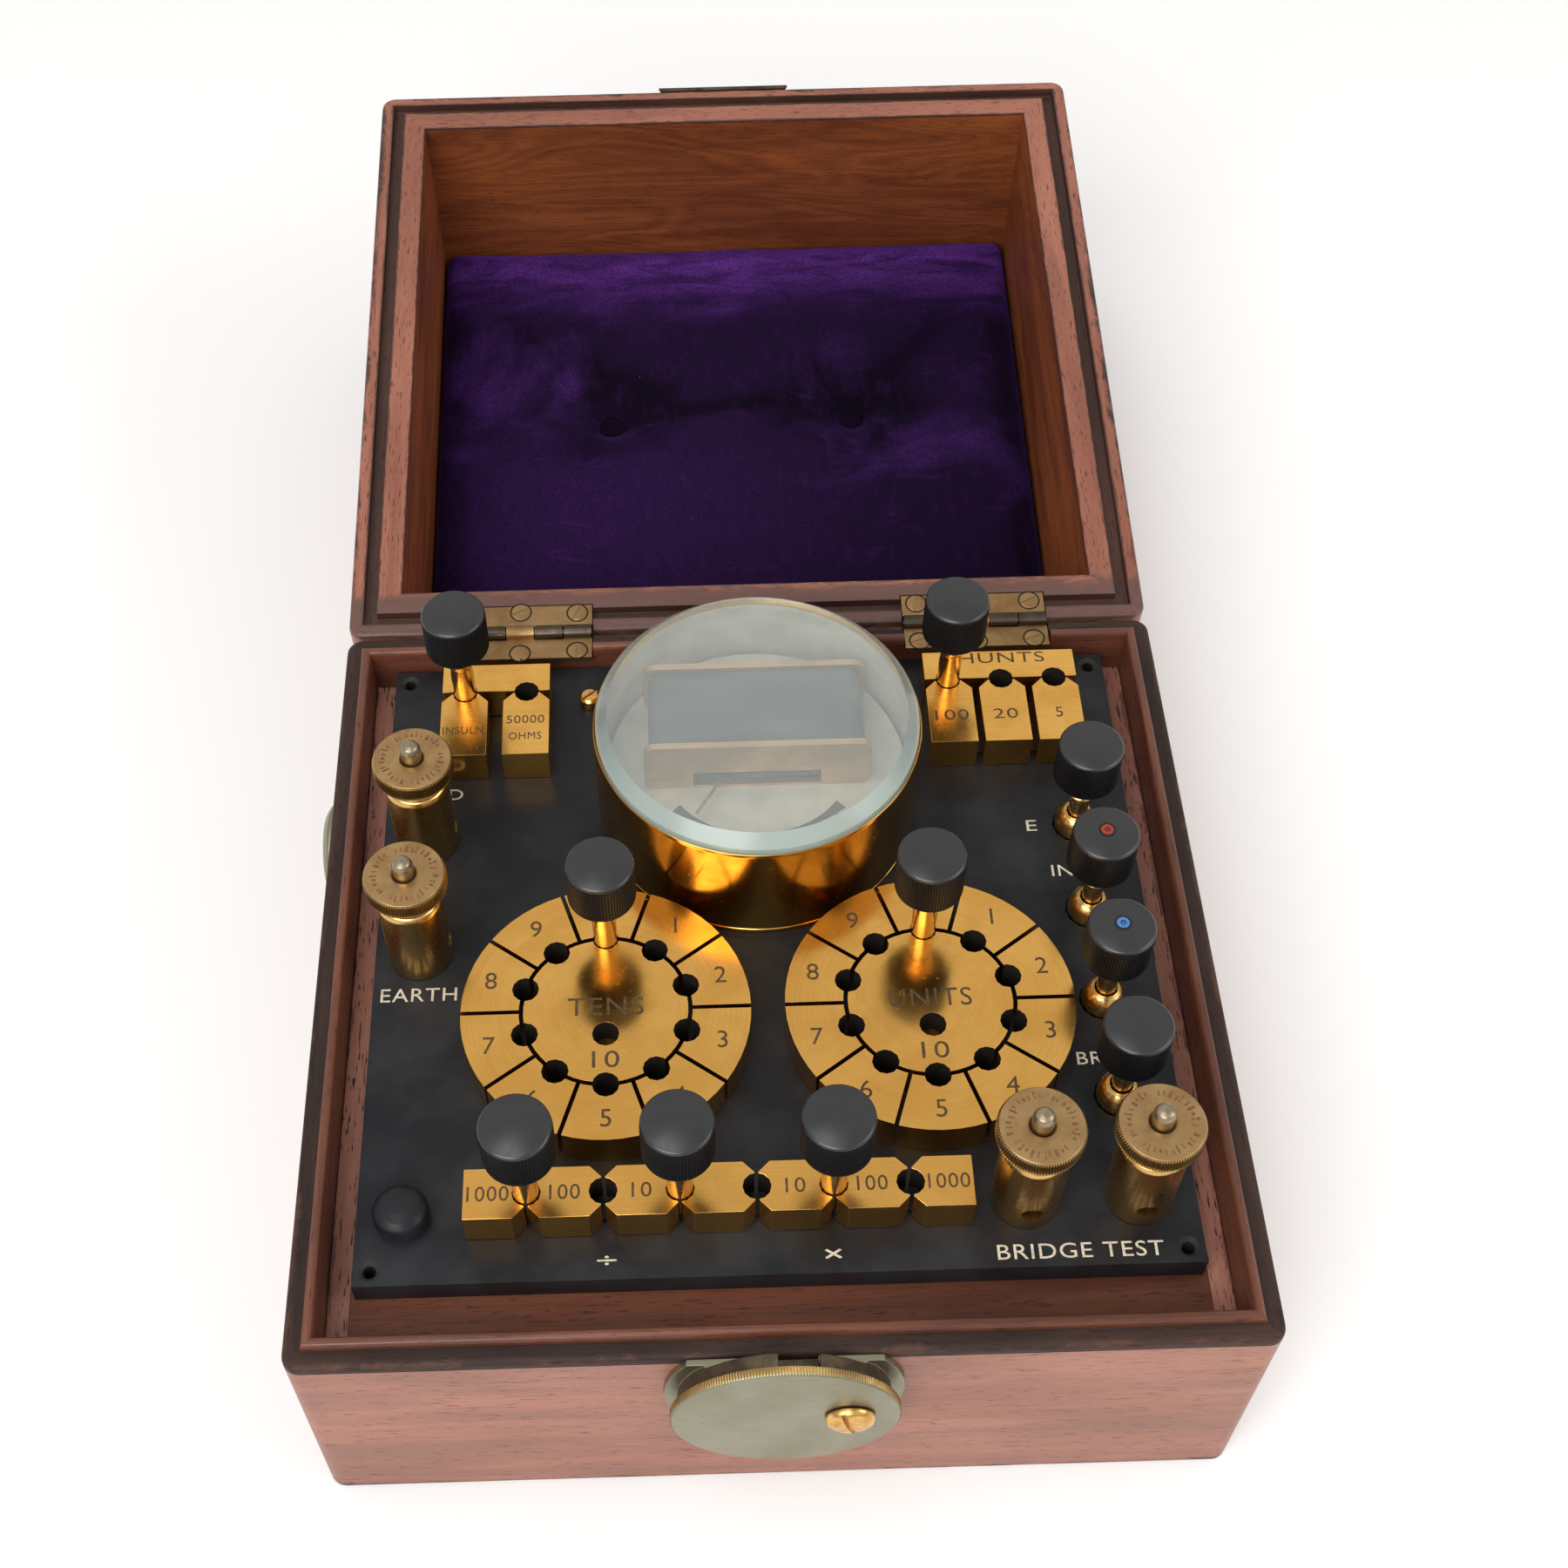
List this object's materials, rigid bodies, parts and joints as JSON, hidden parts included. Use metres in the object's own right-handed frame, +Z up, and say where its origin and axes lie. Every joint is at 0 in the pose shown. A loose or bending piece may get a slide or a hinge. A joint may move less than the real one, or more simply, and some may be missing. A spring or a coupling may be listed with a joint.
{
  "type": "portable galvanometer testing set",
  "caption": "Needle galvanometer under glass with decade dials, plug blocks, press keys and binding posts on an ebonite panel, in a hinged velvet-lined mahogany case.",
  "frame": {"origin": "centre of the case's underside, with the lid open as in the picture", "axes": "+X to the right of a user at the front catch, +Y towards the hinges and the open lid, +Z up"},
  "size_m": [0.193, 0.3789, 0.0971],
  "materials": {
    "case_mahogany": "worn satin French polish, dark stained edges",
    "lid_mahogany": "satin French polish",
    "inner_wood": "varnished",
    "ebonite": "satin black hard rubber",
    "knob_ebonite": "polished black hard rubber",
    "lacquered_brass": "gold-lacquered, fine ground",
    "hinge_brass": "dull, tarnished",
    "dull_brass": "worn, pale, unlacquered",
    "blued_steel": "blued",
    "glass": "clear, bevelled",
    "silvered_dial": "silvered",
    "silk_winding": "varnished silk",
    "velvet": "deep pile velvet"
  },
  "bodies": {
    "case": {"case_frame": "case_mahogany", "case_bottom": "case_mahogany", "panel_ledge": "case_mahogany", "strap_stud": "dull_brass", "hinge_case_leaf_left": "hinge_brass", "hinge_case_leaf_right": "hinge_brass", "hinge_pin_left": "blued_steel", "hinge_pin_right": "blued_steel", "catch_drum": "dull_brass", "catch_screw": "lacquered_brass", "panel": "ebonite", "galv_drum": "lacquered_brass", "galv_glass": "glass", "galv_dial_card": "silvered_dial", "galv_coil": "silk_winding", "galv_coil_frame": "lacquered_brass", "tens_hub": "lacquered_brass", "tens_segments": "lacquered_brass", "units_hub": "lacquered_brass", "units_segments": "lacquered_brass", "insulation_bar": "lacquered_brass", "insulation_block": "lacquered_brass", "ohms_block": "lacquered_brass", "shunt_bar": "lacquered_brass", "shunt_blocks": "lacquered_brass", "ratio_blocks": "lacquered_brass", "post_rear_left": "lacquered_brass", "post_mid_left": "lacquered_brass", "post_inner": "lacquered_brass", "post_outer": "lacquered_brass", "key_guide_plate": "lacquered_brass", "resistance_coils": "inner_wood"},
    "lid": {"lid_frame": "lid_mahogany", "lid_top": "lid_mahogany", "velvet_pad": "velvet", "lid_catch_plate": "dull_brass", "hinge_lid_leaf_left": "hinge_brass", "hinge_lid_leaf_right": "hinge_brass"},
    "catch_disc": {"catch_disc": "dull_brass"},
    "needle": {"galv_needle": "blued_steel"},
    "clamp_button": {"clamp_button": "knob_ebonite"},
    "plug_insulation": {"plug_insulation": "knob_ebonite"},
    "plug_shunt": {"plug_shunt": "knob_ebonite"},
    "plug_tens": {"plug_tens": "knob_ebonite"},
    "plug_units": {"plug_units": "knob_ebonite"},
    "plug_ratio_left": {"plug_ratio_left": "knob_ebonite"},
    "plug_ratio_middle": {"plug_ratio_middle": "knob_ebonite"},
    "plug_ratio_right": {"plug_ratio_right": "knob_ebonite"},
    "key_1": {"key_1": "knob_ebonite"},
    "key_2": {"key_2": "knob_ebonite"},
    "key_3": {"key_3": "knob_ebonite"},
    "key_4": {"key_4": "knob_ebonite"},
    "washer_rear_left": {"post_washer_rear_left": "lacquered_brass"},
    "nut_rear_left": {"post_nut_rear_left": "lacquered_brass"},
    "washer_mid_left": {"post_washer_mid_left": "lacquered_brass"},
    "nut_mid_left": {"post_nut_mid_left": "lacquered_brass"},
    "washer_inner": {"post_washer_inner": "lacquered_brass"},
    "nut_inner": {"post_nut_inner": "lacquered_brass"},
    "washer_outer": {"post_washer_outer": "lacquered_brass"},
    "nut_outer": {"post_nut_outer": "lacquered_brass"}
  },
  "joints": [
    {"name": "lid_hinge", "type": "hinge", "parent": "case", "child": "lid", "pos_m": [0, 0.0909, 0.06415], "axis": [1, 0, 0], "range_deg": [0, 173]},
    {"name": "catch_swing", "type": "hinge", "parent": "case", "child": "catch_disc", "pos_m": [0.0123, -0.0966, 0.0506], "axis": [0, -1, 0], "range_deg": [0, 120]},
    {"name": "needle_swing", "type": "hinge", "parent": "case", "child": "needle", "pos_m": [0, 0.0492, 0.0736], "axis": [0, 0, 1], "range_deg": [-10, 74]},
    {"name": "clamp_press", "type": "slide", "parent": "case", "child": "clamp_button", "axis": [0, 0, -1], "range_m": [0, 0.0012], "stiffness_N_per_m": 500, "springref_m": -0.001},
    {"name": "plug_insulation_lift", "type": "slide", "parent": "case", "child": "plug_insulation", "axis": [0, 0, 1], "range_m": [0, 0.009]},
    {"name": "plug_shunt_lift", "type": "slide", "parent": "case", "child": "plug_shunt", "axis": [0, 0, 1], "range_m": [0, 0.009]},
    {"name": "plug_tens_lift", "type": "slide", "parent": "case", "child": "plug_tens", "axis": [0, 0, 1], "range_m": [0, 0.009]},
    {"name": "plug_units_lift", "type": "slide", "parent": "case", "child": "plug_units", "axis": [0, 0, 1], "range_m": [0, 0.009]},
    {"name": "plug_ratio_left_lift", "type": "slide", "parent": "case", "child": "plug_ratio_left", "axis": [0, 0, 1], "range_m": [0, 0.009]},
    {"name": "plug_ratio_middle_lift", "type": "slide", "parent": "case", "child": "plug_ratio_middle", "axis": [0, 0, 1], "range_m": [0, 0.009]},
    {"name": "plug_ratio_right_lift", "type": "slide", "parent": "case", "child": "plug_ratio_right", "axis": [0, 0, 1], "range_m": [0, 0.009]},
    {"name": "key_1_press", "type": "slide", "parent": "case", "child": "key_1", "axis": [0, 0, -1], "range_m": [0, 0.004], "stiffness_N_per_m": 300, "springref_m": -0.002},
    {"name": "key_2_press", "type": "slide", "parent": "case", "child": "key_2", "axis": [0, 0, -1], "range_m": [0, 0.004], "stiffness_N_per_m": 300, "springref_m": -0.002},
    {"name": "key_3_press", "type": "slide", "parent": "case", "child": "key_3", "axis": [0, 0, -1], "range_m": [0, 0.004], "stiffness_N_per_m": 300, "springref_m": -0.002},
    {"name": "key_4_press", "type": "slide", "parent": "case", "child": "key_4", "axis": [0, 0, -1], "range_m": [0, 0.004], "stiffness_N_per_m": 300, "springref_m": -0.002},
    {"name": "washer_rear_left_rise", "type": "slide", "parent": "case", "child": "washer_rear_left", "axis": [0, 0, 1], "range_m": [0, 0.0042]},
    {"name": "nut_rear_left_turn", "type": "hinge", "parent": "washer_rear_left", "child": "nut_rear_left", "pos_m": [-0.0736, 0.034, 0.087], "axis": [0, 0, 1], "range_deg": [0, 2160]},
    {"name": "washer_mid_left_rise", "type": "slide", "parent": "case", "child": "washer_mid_left", "axis": [0, 0, 1], "range_m": [0, 0.0042]},
    {"name": "nut_mid_left_turn", "type": "hinge", "parent": "washer_mid_left", "child": "nut_mid_left", "pos_m": [-0.0736, 0.0042, 0.087], "axis": [0, 0, 1], "range_deg": [0, 2160]},
    {"name": "washer_inner_rise", "type": "slide", "parent": "case", "child": "washer_inner", "axis": [0, 0, 1], "range_m": [0, 0.0042]},
    {"name": "nut_inner_turn", "type": "hinge", "parent": "washer_inner", "child": "nut_inner", "pos_m": [0.0493, -0.0574, 0.087], "axis": [0, 0, 1], "range_deg": [0, 2160]},
    {"name": "washer_outer_rise", "type": "slide", "parent": "case", "child": "washer_outer", "axis": [0, 0, 1], "range_m": [0, 0.0042]},
    {"name": "nut_outer_turn", "type": "hinge", "parent": "washer_outer", "child": "nut_outer", "pos_m": [0.0718, -0.0574, 0.087], "axis": [0, 0, 1], "range_deg": [0, 2160]}
  ],
  "couplings": [
    {"joint": "nut_rear_left_turn", "follows": "washer_rear_left_rise", "rad_per_m": 8975.9},
    {"joint": "nut_mid_left_turn", "follows": "washer_mid_left_rise", "rad_per_m": 8975.9},
    {"joint": "nut_inner_turn", "follows": "washer_inner_rise", "rad_per_m": 8975.9},
    {"joint": "nut_outer_turn", "follows": "washer_outer_rise", "rad_per_m": 8975.9}
  ]
}
